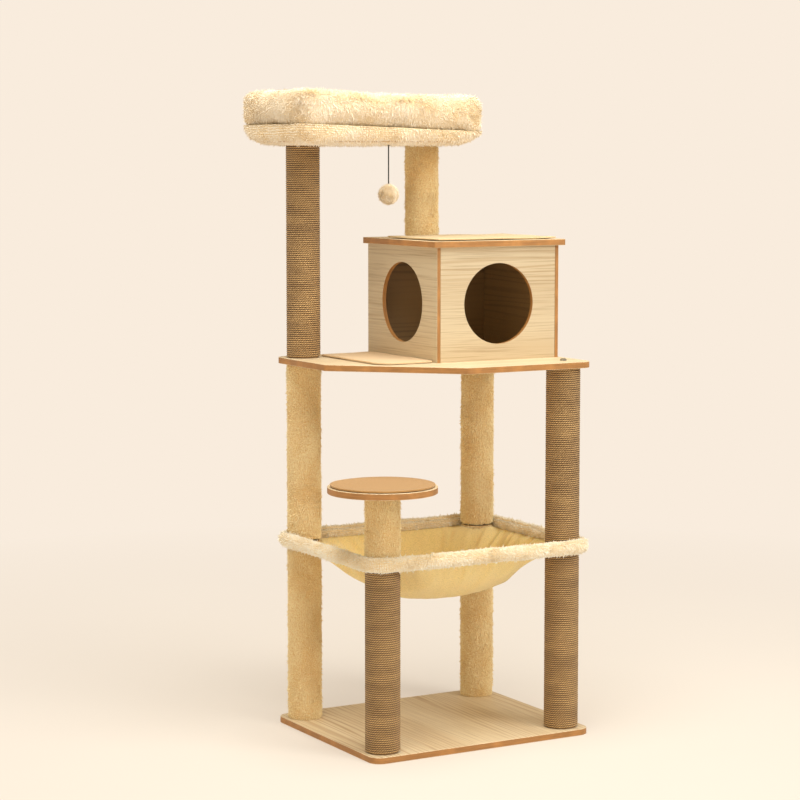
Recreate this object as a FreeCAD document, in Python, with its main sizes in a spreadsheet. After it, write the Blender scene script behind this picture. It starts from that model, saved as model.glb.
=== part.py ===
import FreeCAD, Part
import math
import os
import re
import Sketcher
from FreeCAD import Rotation, Vector

# A free-standing cat tree: a base on four posts, a hammock slung between them, a round step, a
# platform that carries a small house, and a cushioned perch on top with a toy hanging under it.
# The origin is the middle of the base's underside. X runs along the base's long side, the front
# faces -Y and +Z is up. Everything is in millimetres.

SIZES = {
    # boards
    "base_length": 600, "base_depth": 500, "board_thick": 15, "board_corner": 30, "edge_ease": 0.8,
    "cut_length": 252, "cut_depth": 238, "cut_corner": 12,
    "step_width": 255, "step_top": 637, "platform_top": 905,
    # posts: a cardboard core, a covering over it and a wooden plug in each end
    "post_x": 248, "post_y": 195, "post_width": 83, "core_width": 73, "core_bore": 67,
    "plug_depth": 25, "roof_post_x": 78, "roof_post_y": 185,
    # fasteners
    "bolt_width": 8, "bolt_length": 32, "bolt_hole": 8.4, "head_width": 16, "head_thick": 4,
    "head_hole": 18, "head_recess": 6, "stud_length": 56, "dowel_width": 6, "dowel_length": 24,
    # house
    "house_left": -51.5, "house_right": 290.5, "house_front": -108, "house_back": 226,
    "roof_top": 1192, "roof_overhang": 12.5, "roof_back_overhang": 5, "roof_corner": 4,
    "door_width": 193, "door_level": 1041, "front_door_x": 120, "left_door_y": 57,
    "panel_thick": 10, "dowel_inset": 60, "dowel_bite": 7,
    # hammock
    "hammock_level": 460, "tab_thick": 6, "tab_width": 60, "tab_arm": 20, "ring_offset": 47,
    "rod_width": 8, "rim_width": 33, "post_clearance": 0.3, "sling_thick": 4, "sling_sag": 126,
    "sling_top": 452, "sling_inset": 9, "sling_curve": 2.4,
    # mats
    "mat_thick": 4, "hook_thick": 1, "hook_side": 30, "step_mat_width": 243, "mat_corner": 12,
    "roof_mat_left": -47, "roof_mat_right": 286, "roof_mat_front": -105, "roof_mat_back": 138,
    "mat_left": -200, "mat_right": -54, "mat_front": -100, "mat_back": 200, "mat_slant": 24,
    # perch
    "perch_left": -333, "perch_right": 162, "perch_front": 20, "perch_back": 360,
    "perch_corner": 34, "perch_board_corner": 100, "perch_bottom": 1421, "perch_seam": 1457, "perch_top": 1550,
    "cover_thick": 3, "board_inset": 8, "bolster_width": 68, "bolster_inner_corner": 36,
    "bolster_round": 28, "seam_round": 8, "pad_thick": 48, "pad_gap": 1.5, "pad_round": 12,
    # toy
    "toy_x": -90, "toy_y": 55, "toy_gap": 0.3, "knot_width": 6, "cord_width": 3,
    "ball_level": 1300, "ball_width": 50, "cord_grip": 15,
}

doc = FreeCAD.newDocument("CatTree")
sheet = doc.addObject("Spreadsheet::Sheet", "Sizes")
for row, (alias, number) in enumerate(SIZES.items(), 1):
    sheet.set(f"A{row}", alias)
    sheet.set(f"B{row}", str(number))
    sheet.setAlias(f"B{row}", alias)
doc.recompute()

NODES = {}


def sized(text):
    """Turn every bare word of an expression into a reference to the sheet."""
    return re.sub(r"[a-z]\w*", lambda word: "Sizes." + word.group(), text)


def keep(thing, label):
    """Name a finished sub-part and list it for export."""
    thing.Label = label
    NODES[label] = thing
    return thing


def put(thing, x="0", y="0", z="0"):
    """Bind a primitive's position to the sheet."""
    for axis, text in (("x", x), ("y", y), ("z", z)):
        thing.setExpression("Placement.Base." + axis, sized(text))


# Sketches and the features made from them

def new_sketch(body, name, role, height="0"):
    """A sketch on one of the body's own origin planes, raised along the plane's normal."""
    sketch = body.newObject("Sketcher::SketchObject", name)
    plane = next(item for item in body.Origin.OriginFeatures if item.Role == role)
    sketch.AttachmentSupport = [(plane, "")]
    sketch.MapMode = "FlatFace"
    sketch.setExpression("AttachmentOffset.Base.z", sized(height))
    return sketch


def hold(sketch, kind, place, name, text):
    """Add a driving dimension to a sketch and bind it to the sheet."""
    number = sketch.addConstraint(Sketcher.Constraint(kind, *place))
    sketch.renameConstraint(number, name)
    sketch.setExpression("Constraints." + name, sized(text))


def polygon(body, name, corners, height):
    """A closed outline whose corners are pairs of expressions."""
    sketch = new_sketch(body, name, "XY_Plane", height)
    count = len(corners)
    turns = [2 * math.pi * index / count for index in range(count)]
    starts = [Vector(100 * math.cos(turn), 100 * math.sin(turn), 0) for turn in turns]
    for index in range(count):
        sketch.addGeometry(Part.LineSegment(starts[index], starts[(index + 1) % count]), False)
    for index in range(count):
        sketch.addConstraint(Sketcher.Constraint("Coincident", index, 2, (index + 1) % count, 1))
    for index, (x, y) in enumerate(corners):
        hold(sketch, "DistanceX", (-1, 1, index, 1, starts[index].x), f"across_{index}", x)
        hold(sketch, "DistanceY", (-1, 1, index, 1, starts[index].y), f"along_{index}", y)
    return sketch


def circles(body, name, role, centres, width, height="0"):
    """Equal circles whose centres are pairs of expressions."""
    sketch = new_sketch(body, name, role, height)
    for index, (x, y) in enumerate(centres):
        sketch.addGeometry(Part.Circle(Vector(10 + 50 * index, 10, 0), Vector(0, 0, 1), 10), False)
        hold(sketch, "Radius", (index, 10), f"radius_{index}", width + " / 2")
        hold(sketch, "DistanceX", (-1, 1, index, 3, 10 + 50 * index), f"across_{index}", x)
        hold(sketch, "DistanceY", (-1, 1, index, 3, 10), f"along_{index}", y)
    return sketch


def pad(body, sketch, height):
    feature = body.newObject("PartDesign::Pad", sketch.Name + "_pad")
    feature.Profile = sketch
    feature.setExpression("Length", sized(height))
    doc.recompute()
    return feature


def pocket(body, sketch, depth=None):
    """Cut upwards from the sketch by a depth, or both ways right through when none is given."""
    before = body.Shape.Volume
    feature = body.newObject("PartDesign::Pocket", sketch.Name + "_pocket")
    feature.Profile = sketch
    if depth is None:
        feature.Type = "ThroughAll"
        feature.SideType = "Symmetric"
    else:
        feature.Reversed = True
        feature.setExpression("Length", sized(depth))
    doc.recompute()
    if body.Shape.Volume >= before - 1:
        raise RuntimeError(feature.Name + " cuts nothing")
    return feature


def dress(body, kind, edges, size):
    """Fillet or chamfer the edges of the body's tip that pass the test."""
    tip = body.Tip
    names = [f"Edge{number}" for number, edge in enumerate(tip.Shape.Edges, 1) if edges(edge)]
    feature = body.newObject("PartDesign::" + kind, tip.Name + "_" + kind.lower())
    feature.Base = (tip, names)
    feature.setExpression("Radius" if kind == "Fillet" else "Size", sized(size))
    doc.recompute()
    return feature


def upright(edge):
    box = edge.BoundBox
    return box.ZLength > 1 and box.XLength < 0.01 and box.YLength < 0.01


def level(edge):
    return edge.BoundBox.ZLength < 0.01


def near(edge, x, y, reach=1):
    centre = edge.BoundBox.Center
    return math.hypot(centre.x - x, centre.y - y) < reach


def rectangle(left, right, front, back):
    return [(left, front), (right, front), (right, back), (left, back)]


def plate(name, corners, bottom, thick, corner, ease="edge_ease"):
    """A board, mat or pad: an outline with rounded corners and eased edges."""
    body = doc.addObject("PartDesign::Body", name)
    pad(body, polygon(body, name + "_outline", corners, bottom), thick)
    dress(body, "Fillet", upright, corner)
    dress(body, "Fillet" if ease.endswith("round") else "Chamfer", level, ease)
    return body


def disc(name, x, y, width, bottom, thick):
    body = doc.addObject("PartDesign::Body", name)
    pad(body, circles(body, name + "_outline", "XY_Plane", [(x, y)], width, bottom), thick)
    dress(body, "Chamfer", level, "edge_ease")
    return body


def drill(body, name, centres, bottom, depth, width="bolt_hole"):
    """Round holes that go up from a level."""
    pocket(body, circles(body, body.Name + name, "XY_Plane", centres, width, bottom), depth)


# Primitives

def cylinder(name, x, y, bottom, tall, width):
    thing = doc.addObject("Part::Cylinder", name)
    put(thing, x, y, bottom)
    thing.setExpression("Radius", sized(width) + " / 2")
    thing.setExpression("Height", sized(tall))
    return thing


def cut(name, base, tool):
    thing = doc.addObject("Part::Cut", name)
    thing.Base, thing.Tool = base, tool
    return thing


def fuse(name, things):
    thing = doc.addObject("Part::MultiFuse", name)
    thing.Shapes = things
    return thing


def group(name, things):
    thing = doc.addObject("Part::Compound", name)
    thing.Links = things
    return thing


def tube(name, x, y, bottom, tall, width, bore):
    outer = cylinder(name + "_outer", x, y, bottom, tall, width)
    inner = cylinder(name + "_inner", x, y, bottom, tall, bore)
    return cut(name, outer, inner)


# Places of the posts, and the corners where they stand

FRONT_LEFT = ("-post_x", "-post_y")
FRONT_RIGHT = ("post_x", "-post_y")
BACK_LEFT = ("-post_x", "post_y")
BACK_RIGHT = ("post_x", "post_y")
ON_ROOF = ("roof_post_x", "roof_post_y")
CORNERS = (FRONT_LEFT, FRONT_RIGHT, BACK_LEFT, BACK_RIGHT)
UNDER_TAB = "hammock_level - tab_thick / 2"
OVER_TAB = "hammock_level + tab_thick / 2"
UNDER_PLATFORM = "platform_top - board_thick"

# name, corner, bottom, top, covering
POSTS = (
    ("front_left_lower", FRONT_LEFT, "board_thick", UNDER_TAB, "sisal"),
    ("front_left_upper", FRONT_LEFT, OVER_TAB, "step_top - board_thick", "plush"),
    ("front_right_lower", FRONT_RIGHT, "board_thick", UNDER_TAB, "sisal"),
    ("front_right_upper", FRONT_RIGHT, OVER_TAB, UNDER_PLATFORM, "sisal"),
    ("back_left_lower", BACK_LEFT, "board_thick", UNDER_TAB, "plush"),
    ("back_left_upper", BACK_LEFT, OVER_TAB, UNDER_PLATFORM, "plush"),
    ("back_left_top", BACK_LEFT, "platform_top", "perch_bottom", "sisal"),
    ("back_right_lower", BACK_RIGHT, "board_thick", UNDER_TAB, "plush"),
    ("back_right_upper", BACK_RIGHT, OVER_TAB, UNDER_PLATFORM, "plush"),
    ("roof_post", ON_ROOF, "roof_top", "perch_bottom", "plush"),
)


def make_post(name, place, bottom, top, covering):
    """A core tube, the sleeve of rope or plush over it, and a bored plug in each end."""
    x, y = place
    tall = f"({top}) - ({bottom})"
    keep(tube(name + "_sleeve", x, y, bottom, tall, "post_width", "core_width"),
         f"{name}_{covering}")
    keep(tube(name + "_tube", x, y, bottom, tall, "core_width", "core_bore"), name + "_core")
    plugs = [tube(f"{name}_plug_{index}", x, y, start, "plug_depth", "core_bore", "bolt_hole")
             for index, start in enumerate((bottom, f"({top}) - plug_depth"))]
    keep(group(name + "_ends", plugs), name + "_plugs")


def make_bolts(label, places, seat, up):
    """Low-headed bolts: the head lies outside the seat and the shank runs the other way."""
    bolts = []
    for index, (x, y) in enumerate(places):
        head_at = seat + (" - head_thick" if up else "")
        shank_at = seat + ("" if up else " - bolt_length")
        head = cylinder(f"{label}_head_{index}", x, y, head_at, "head_thick", "head_width")
        shank = cylinder(f"{label}_shank_{index}", x, y, shank_at, "bolt_length", "bolt_width")
        bolts.append(fuse(f"{label}_{index}", [head, shank]))
    keep(group(label + "_group", bolts) if len(bolts) > 1 else bolts[0], label)


def make_fasteners():
    make_bolts("base_bolts", CORNERS, "head_recess", up=True)
    make_bolts("platform_bolts", (FRONT_RIGHT, BACK_RIGHT), "platform_top", up=False)
    make_bolts("step_bolt", (FRONT_LEFT,), "step_top - head_thick", up=False)
    make_bolts("roof_bolt", (ON_ROOF,), "roof_top - board_thick", up=True)
    make_bolts("perch_bolts", (BACK_LEFT, ON_ROOF), PERCH_BOARD_TOP + " - head_thick", up=False)
    studs = [cylinder(f"hammock_stud_{index}", x, y, "hammock_level - stud_length / 2",
                      "stud_length", "bolt_width") for index, (x, y) in enumerate(CORNERS)]
    studs.append(cylinder("platform_stud", *BACK_LEFT,
                          "platform_top - board_thick / 2 - stud_length / 2",
                          "stud_length", "bolt_width"))
    keep(group("stud_group", studs), "post_studs")


# Boards

def make_base():
    body = plate("base", rectangle("-base_length / 2", "base_length / 2",
                                   "-base_depth / 2", "base_depth / 2"),
                 "0", "board_thick", "board_corner")
    drill(body, "_holes", CORNERS, "0", "board_thick")
    drill(body, "_recesses", CORNERS, "0", "head_recess", "head_hole")
    keep(body, "base_board")


def make_platform(dowels):
    """The same outline as the base, with the front-left corner cut away above the step."""
    corners = [("-base_length / 2 + cut_length", "-base_depth / 2"),
               ("base_length / 2", "-base_depth / 2"), ("base_length / 2", "base_depth / 2"),
               ("-base_length / 2", "base_depth / 2"),
               ("-base_length / 2", "-base_depth / 2 + cut_depth")]
    body = doc.addObject("PartDesign::Body", "platform")
    pad(body, polygon(body, "platform_outline", corners, UNDER_PLATFORM), "board_thick")
    half_x, half_y = sheet.base_length / 2, sheet.base_depth / 2

    def square_corner(edge):
        return upright(edge) and any(near(edge, x, y) for x, y in
                                     ((half_x, -half_y), (half_x, half_y), (-half_x, half_y)))

    def cut_end(edge):
        return upright(edge) and (near(edge, -half_x + sheet.cut_length, -half_y)
                                  or near(edge, -half_x, -half_y + sheet.cut_depth))

    dress(body, "Fillet", square_corner, "board_corner")
    dress(body, "Fillet", cut_end, "cut_corner")
    dress(body, "Chamfer", level, "edge_ease")
    drill(body, "_holes", (FRONT_RIGHT, BACK_RIGHT, BACK_LEFT), UNDER_PLATFORM, "board_thick")
    keep(cut("platform_bored", body, dowels), "platform_board")


def make_step():
    body = disc("step", *FRONT_LEFT, "step_width", "step_top - board_thick", "board_thick")
    drill(body, "_hole", (FRONT_LEFT,), "step_top - board_thick", "board_thick")
    drill(body, "_recess", (FRONT_LEFT,), "step_top - head_thick", "head_thick", "head_hole")
    keep(body, "step_board")


# House

HOUSE_TALL = "roof_top - platform_top - board_thick"
INNER_LEFT = "house_left + panel_thick"
INNER_RIGHT = "house_right - panel_thick"
INNER_FRONT = "house_front + panel_thick"
INNER_BACK = "house_back - panel_thick"
MID_FRONT = "house_front + panel_thick / 2"
MID_BACK = "house_back - panel_thick / 2"
MID_LEFT = "house_left + panel_thick / 2"
MID_RIGHT = "house_right - panel_thick / 2"
UNDER_ROOF = "roof_top - board_thick"


def make_dowels():
    """Pins between each panel and the boards above and below it, and at the house's corners."""
    across = (INNER_LEFT + " + dowel_inset", INNER_RIGHT + " - dowel_inset")
    along = (INNER_FRONT + " + dowel_inset", INNER_BACK + " - dowel_inset")
    feet = [(x, y) for x in across for y in (MID_FRONT, MID_BACK)]
    feet += [(x, y) for x in (MID_LEFT, MID_RIGHT) for y in along]
    pins = []
    for seat in ("platform_top", UNDER_ROOF):
        for x, y in feet:
            pins.append(cylinder(f"dowel_{len(pins)}", x, y, f"{seat} - dowel_length / 2",
                                 "dowel_length", "dowel_width"))
    for x in (INNER_LEFT + " - dowel_bite", INNER_RIGHT + " + dowel_bite - dowel_length"):
        for y in (MID_FRONT, MID_BACK):
            for z in ("platform_top + dowel_inset", "roof_top - board_thick - dowel_inset"):
                pin = cylinder(f"dowel_{len(pins)}", x, y, z, "dowel_length", "dowel_width")
                pin.Placement.Rotation = Rotation(Vector(0, 1, 0), 90)
                pins.append(pin)
    return keep(group("dowel_group", pins), "house_dowels")


def make_panel(label, corners, dowels, door=None):
    """An upright panel with square, lightly eased edges; door is a plane and a centre."""
    body = doc.addObject("PartDesign::Body", label + "_blank")
    pad(body, polygon(body, label + "_foot", corners, "platform_top"), HOUSE_TALL)
    dress(body, "Chamfer", upright, "edge_ease")
    if door:
        plane, centre = door
        pocket(body, circles(body, label + "_door", plane, [centre], "door_width"))
    keep(cut(label + "_bored", body, dowels), label)


def make_house(dowels):
    make_panel("house_left_panel", rectangle("house_left", INNER_LEFT, "house_front", "house_back"),
               dowels, ("YZ_Plane", ("left_door_y", "door_level")))
    make_panel("house_right_panel",
               rectangle(INNER_RIGHT, "house_right", "house_front", "house_back"), dowels)
    make_panel("house_front_panel", rectangle(INNER_LEFT, INNER_RIGHT, "house_front", INNER_FRONT),
               dowels, ("XZ_Plane", ("front_door_x", "door_level")))
    make_panel("house_back_panel",
               rectangle(INNER_LEFT, INNER_RIGHT, INNER_BACK, "house_back"), dowels)
    roof = plate("roof", rectangle("house_left - roof_overhang", "house_right + roof_overhang",
                                   "house_front - roof_overhang",
                                   "house_back + roof_back_overhang"),
                 UNDER_ROOF, "board_thick", "roof_corner")
    drill(roof, "_hole", (ON_ROOF,), UNDER_ROOF, "board_thick")
    keep(cut("roof_bored", roof, dowels), "roof_board")


# Hammock: the bent rod, its sleeve and the cloth are shaped with Part's own functions, because
# each one follows the other's curved outline

UP = Vector(0, 0, 1)
POST_SIDES = ((1, 1), (-1, 1), (-1, -1), (1, -1))


def solid(name, shape):
    thing = doc.addObject("Part::Feature", name)
    thing.Shape = shape
    return thing


def post_centres(height):
    return [Vector(across * sheet.post_x, along * sheet.post_y, height)
            for across, along in POST_SIDES]


def ring(width):
    """A tube round all four posts: four straight runs and a quarter torus at each corner."""
    radius, reach = width / 2, sheet.ring_offset
    centres = post_centres(sheet.hammock_level)
    pieces = []
    for index, centre in enumerate(centres):
        bend = Part.makeTorus(reach, radius, Vector(), UP, -180, 180, 90)
        bend.Placement = FreeCAD.Placement(centre, Rotation(UP, 90 * index))
        run = centres[(index + 1) % 4] - centre
        outwards = Rotation(UP, 90 * (index + 1)).multVec(Vector(reach, 0, 0))
        pieces += [bend, Part.makeCylinder(radius, run.Length, centre + outwards, run)]
    return pieces[0].fuse(pieces[1:])


def post_gaps():
    """The room that the posts take, with a little clearance."""
    radius = sheet.post_width / 2 + sheet.post_clearance
    reach = 2 * sheet.rim_width
    return [Part.makeCylinder(radius, 2 * reach, centre)
            for centre in post_centres(sheet.hammock_level - reach)]


def frame_shape():
    """A bent rod with a tab welded in each corner, bored for the stud that clamps it."""
    bottom = sheet.hammock_level - sheet.tab_thick / 2
    tabs, holes = [], []
    for index, centre in enumerate(post_centres(bottom)):
        tabs.append(Part.makeCylinder(sheet.tab_width / 2, sheet.tab_thick, centre))
        arm = Part.makeBox(sheet.ring_offset, sheet.tab_arm, sheet.tab_thick,
                           Vector(0, -sheet.tab_arm / 2, 0))
        arm.Placement = FreeCAD.Placement(centre, Rotation(UP, 45 + 90 * index))
        tabs.append(arm)
        holes.append(Part.makeCylinder(sheet.bolt_hole / 2, sheet.tab_thick, centre))
    return ring(sheet.rod_width).fuse(tabs).cut(holes)


def rounded_wire(half_x, half_y, corner, height):
    """A closed rectangle at a height, with its corners rounded."""
    edges = []
    centres = [Vector(across * (half_x - corner), along * (half_y - corner), height)
               for across, along in POST_SIDES]
    for index, centre in enumerate(centres):
        start, middle, end = (centre + corner * Vector(math.cos(turn), math.sin(turn), 0)
                              for turn in (math.pi / 2 * index + part * math.pi / 4
                                           for part in (0, 1, 2)))
        edges.append(Part.Arc(start, middle, end).toShape())
        follower = centres[(index + 1) % 4]
        turn = math.pi / 2 * (index + 1)
        edges.append(Part.LineSegment(
            end, follower + corner * Vector(math.cos(turn), math.sin(turn), 0)).toShape())
    return Part.Wire(edges)


def bowl(inset, lift):
    """A solid bowl whose sides steepen towards its rim."""
    half_x = sheet.post_x + sheet.ring_offset - sheet.sling_inset - inset
    half_y = sheet.post_y + sheet.ring_offset - sheet.sling_inset - inset
    wires = []
    for part in (0, 0.12, 0.3, 0.5, 0.7, 0.86, 0.96, 0.995):
        spread = (1 - part) ** (1 / sheet.sling_curve)
        corner = half_y * spread * (0.25 + 0.5 * part)
        height = sheet.sling_top + lift - sheet.sling_sag * part
        wires.append(rounded_wire(half_x * spread, half_y * spread, corner, height))
    return Part.makeLoft(wires, True, False)


def make_hammock():
    """The frame, the fleece sleeve round its rod, and the double cloth bowl that hangs from it."""
    frame = frame_shape()
    sleeve = ring(sheet.rim_width)
    cloth = bowl(0, 0).cut(bowl(sheet.sling_thick, sheet.sling_thick))
    keep(solid("bent_rod", frame), "hammock_frame")
    keep(solid("rod_sleeve", sleeve.cut(post_gaps()).cut(frame)), "hammock_rim")
    trimmed = cloth.cut(sleeve).cut(post_gaps())
    bowl_alone = max(trimmed.Solids, key=lambda piece: piece.Volume)
    keep(solid("cloth_bowl", bowl_alone), "hammock_sling")


# Mats

def make_hooks(seats):
    """Squares of hook tape that hold the loose mats on their boards."""
    hooks = []
    for x, y, level_text in seats:
        square = doc.addObject("Part::Box", f"hook_{len(hooks)}")
        for side, text in (("Length", "hook_side"), ("Width", "hook_side"),
                           ("Height", "hook_thick")):
            square.setExpression(side, sized(text))
        put(square, f"{x} - hook_side / 2", f"{y} - hook_side / 2", level_text)
        hooks.append(square)
    keep(group("hook_group", hooks), "hook_patches")


def make_mats():
    keep(plate("roof_felt", rectangle("roof_mat_left", "roof_mat_right", "roof_mat_front",
                                      "roof_mat_back"),
               "roof_top + hook_thick", "mat_thick", "mat_corner"), "roof_mat")
    corners = rectangle("mat_left", "mat_right", "mat_front", "mat_back")
    corners[0:1] = [("mat_left", "mat_front + mat_slant"), ("mat_left + mat_slant", "mat_front")]
    keep(plate("platform_felt", corners, "platform_top + hook_thick", "mat_thick", "mat_corner"),
         "platform_mat")
    keep(disc("step_felt", *FRONT_LEFT, "step_mat_width", "step_top + hook_thick", "mat_thick"),
         "step_mat")
    roof_x = ("roof_mat_left + hook_side", "roof_mat_right - hook_side")
    roof_y = ("roof_mat_front + hook_side", "roof_mat_back - hook_side")
    seats = [(x, y, "roof_top") for x in roof_x for y in roof_y]
    middle = "(mat_left + mat_right) / 2"
    seats += [(middle, y, "platform_top") for y in ("mat_front + 2 * hook_side",
                                                    "mat_back - 2 * hook_side")]
    seats += [(f"-post_x + {side} * hook_side", "-post_y", "step_top") for side in (-2, 2)]
    make_hooks(seats)


# Perch

PERCH_BOARD_TOP = "perch_bottom + cover_thick + board_thick"
PERCH_POSTS = (BACK_LEFT, ON_ROOF)


def perch_outline(inset):
    return rectangle(f"perch_left + {inset}", f"perch_right - {inset}",
                     f"perch_front + {inset}", f"perch_back - {inset}")


def perch_plate(name):
    return plate(name, perch_outline("board_inset"), "perch_bottom + cover_thick",
                 "board_thick", "perch_board_corner")


def make_perch_board():
    body = perch_plate("perch_plywood")
    drill(body, "_holes", PERCH_POSTS, "perch_bottom + cover_thick", "board_thick")
    drill(body, "_recesses", PERCH_POSTS, PERCH_BOARD_TOP + " - head_thick", "head_thick",
          "head_hole")
    keep(body, "perch_board")


def make_perch():
    """A board inside a padded cover, a bolster sewn round its edge and a loose pad inside."""
    make_perch_board()
    tray = plate("tray", perch_outline("0"), "perch_bottom", "perch_seam - perch_bottom",
                 "perch_corner", "seam_round")
    pocket(tray, polygon(tray, "tray_well", perch_outline("bolster_width"), PERCH_BOARD_TOP),
           "perch_seam - perch_bottom")
    drill(tray, "_holes", PERCH_POSTS, "perch_bottom", "board_thick")
    keep(cut("tray_slotted", tray, perch_plate("tray_slot")), "perch_cover")
    bolster = doc.addObject("PartDesign::Body", "bolster")
    pad(bolster, polygon(bolster, "bolster_outline", perch_outline("0"), "perch_seam"),
        "perch_top - perch_seam")
    dress(bolster, "Fillet", upright, "perch_corner")
    pocket(bolster, polygon(bolster, "bolster_well", perch_outline("bolster_width"),
                            "perch_seam"), "perch_top")
    dress(bolster, "Fillet", is_well_corner, "bolster_inner_corner")
    dress(bolster, "Fillet", lambda edge: level(edge) and edge.BoundBox.ZMin > sheet.perch_top - 1,
          "bolster_round")
    dress(bolster, "Fillet", lambda edge: level(edge) and edge.BoundBox.ZMin < sheet.perch_seam + 1,
          "seam_round")
    keep(bolster, "perch_bolster")
    keep(plate("cushion", perch_outline("(bolster_width + pad_gap)"), PERCH_BOARD_TOP,
               "pad_thick", "bolster_inner_corner - pad_gap", "pad_round"), "perch_pad")


def is_well_corner(edge):
    """True at the four upright edges of the well inside the bolster."""
    reach = sheet.bolster_width
    xs = (sheet.perch_left + reach, sheet.perch_right - reach)
    ys = (sheet.perch_front + reach, sheet.perch_back - reach)
    return upright(edge) and any(near(edge, x, y) for x in xs for y in ys)


# Toy: a ball on an elastic cord whose knot is the pivot, so each piece turns about one point

KNOT_LEVEL = "perch_bottom - toy_gap - knot_width / 2"
CORD_TOP = "perch_bottom - 2 * toy_gap - knot_width"
CORD_END = "ball_level + ball_width / 2 - cord_grip"


def ball(name, x, y, z, width):
    thing = doc.addObject("Part::Sphere", name)
    put(thing, x, y, z)
    thing.setExpression("Radius", sized(width) + " / 2")
    return thing


def make_toy():
    keep(ball("knot", "toy_x", "toy_y", KNOT_LEVEL, "knot_width"), "toy_knot")
    cord = keep(cylinder("elastic", "toy_x", "toy_y", CORD_END, f"({CORD_TOP}) - ({CORD_END})",
                         "cord_width"), "toy_cord")
    keep(cut("pompom", ball("pompom_core", "toy_x", "toy_y", "ball_level", "ball_width"), cord),
         "toy_ball")


def check_and_write():
    """Refuse a failed feature or a bad shape, then write one file for each sub-part."""
    doc.recompute()
    failed = [thing.Name for thing in doc.Objects
              if "Invalid" in thing.State or "Error" in thing.State]
    if failed:
        raise RuntimeError("failed features: " + ", ".join(failed))
    for label, thing in NODES.items():
        if thing.Shape.isNull() or not thing.Shape.isValid():
            raise RuntimeError("bad shape: " + label)
    os.makedirs("parts", exist_ok=True)
    for label, thing in NODES.items():
        thing.Shape.exportStep(f"parts/{label}.step")
        box = thing.Shape.BoundBox
        print(f"{label:28} {len(thing.Shape.Solids):2} solids {thing.Shape.Volume / 1000:9.1f} cm3"
              f"  x {box.XMin:7.1f} {box.XMax:7.1f}  y {box.YMin:7.1f} {box.YMax:7.1f}"
              f"  z {box.ZMin:7.1f} {box.ZMax:7.1f}")
    print(len(NODES), "sub-parts")


house_dowels = make_dowels()
make_base()
for post in POSTS:
    make_post(*post)
make_step()
make_platform(house_dowels)
make_house(house_dowels)
make_hammock()
make_mats()
make_perch()
make_fasteners()
make_toy()
check_and_write()
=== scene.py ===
"""Builds a tall cat tree, with the stage and camera that show it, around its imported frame."""

import math
import random

import bmesh
import bpy
from mathutils import Euler, Matrix, Vector, noise


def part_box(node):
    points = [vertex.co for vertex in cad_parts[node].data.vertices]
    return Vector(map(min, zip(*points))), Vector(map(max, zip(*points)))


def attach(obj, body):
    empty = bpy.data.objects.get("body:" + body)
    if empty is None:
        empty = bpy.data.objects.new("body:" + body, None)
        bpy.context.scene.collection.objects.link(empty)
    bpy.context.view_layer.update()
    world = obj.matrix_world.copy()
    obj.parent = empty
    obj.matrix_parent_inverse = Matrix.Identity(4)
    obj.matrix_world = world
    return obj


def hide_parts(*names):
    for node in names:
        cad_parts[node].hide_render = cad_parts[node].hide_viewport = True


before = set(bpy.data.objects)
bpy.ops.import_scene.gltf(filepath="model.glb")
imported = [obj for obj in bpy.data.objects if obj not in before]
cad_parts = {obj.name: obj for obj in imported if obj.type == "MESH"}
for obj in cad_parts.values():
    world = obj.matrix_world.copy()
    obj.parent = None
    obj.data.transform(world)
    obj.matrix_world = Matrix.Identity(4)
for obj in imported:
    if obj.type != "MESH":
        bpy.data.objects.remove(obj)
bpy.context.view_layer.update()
perch_low, perch_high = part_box("perch_cover")
perch_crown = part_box("perch_bolster")[1].z - 0.006  # the fleece stands above the crown

bl_info = {
    "name": "Cat Tree",
    "version": (1, 0, 0),
    "blender": (4, 5, 0),
    "location": "3D View > Sidebar > Cat Tree",
    "description": "Rope posts, fleece posts, a hammock, a little house and a cushioned perch",
    "category": "Add Mesh",
}

MM = 0.001
UP = Vector((0, 0, 1))
SISAL_POSTS = ("front_left_lower", "front_right_lower", "front_right_upper", "back_left_top")
FLEECE_POSTS = ("front_left_upper", "back_left_lower", "back_left_upper", "back_right_lower",
                "back_right_upper", "roof_post")


def shade(red, green, blue):
    """A colour given as it is seen on a screen, from 0 to 255, as the light that it is."""
    return tuple(((part / 255 + 0.055) / 1.055) ** 2.4 if part > 10 else part / 3294.6
                 for part in (red, green, blue))


def scaled(tint, share):
    """A tint made darker or lighter."""
    return tuple(min(1, part * share) for part in tint)


def length(name, description, millimetres):
    return bpy.props.FloatProperty(name=name, description=description, default=millimetres * MM,
                                   min=0, unit="LENGTH", subtype="DISTANCE")


def colour(name, description, *seen):
    return bpy.props.FloatVectorProperty(name=name, description=description, default=shade(*seen),
                                         min=0, max=1, size=3, subtype="COLOR")


class TreeSizes(bpy.types.PropertyGroup):
    rope_width: length("Rope width", "Width of the sisal rope on the posts", 5)
    rope_lay: length("Rope lay", "Length in which a strand goes once round its rope", 17)
    tuft_width: length("Tuft width", "Distance from one tuft of fleece to the next", 3)
    pile: length("Pile", "Height of the fleece's tufts", 5)
    perch_pile: length("Perch pile", "Height of the tufts on the perch", 6.5)
    rim_pile: length("Rim pile", "Height of the tufts on the hammock's rim", 6.5)
    pleat: length("Pleat depth", "Depth of the folds in the hammock's cloth", 11)
    cloth_thick: length("Cloth thickness", "Thickness of the hammock's two layers of cloth", 4)
    felt_thick: length("Felt thickness", "Thickness of the felt mats", 4)
    felt_wave: length("Felt wave", "Height of the waves in the felt mats", 0.9)
    seam_left: length("Seam at the left", "Height of the perch's seam at its left end", 1464)
    seam_right: length("Seam at the right", "Height of the perch's seam at its right end", 1446)
    cord_width: length("Cord width", "Width of the toy's elastic cord", 3)


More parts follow.
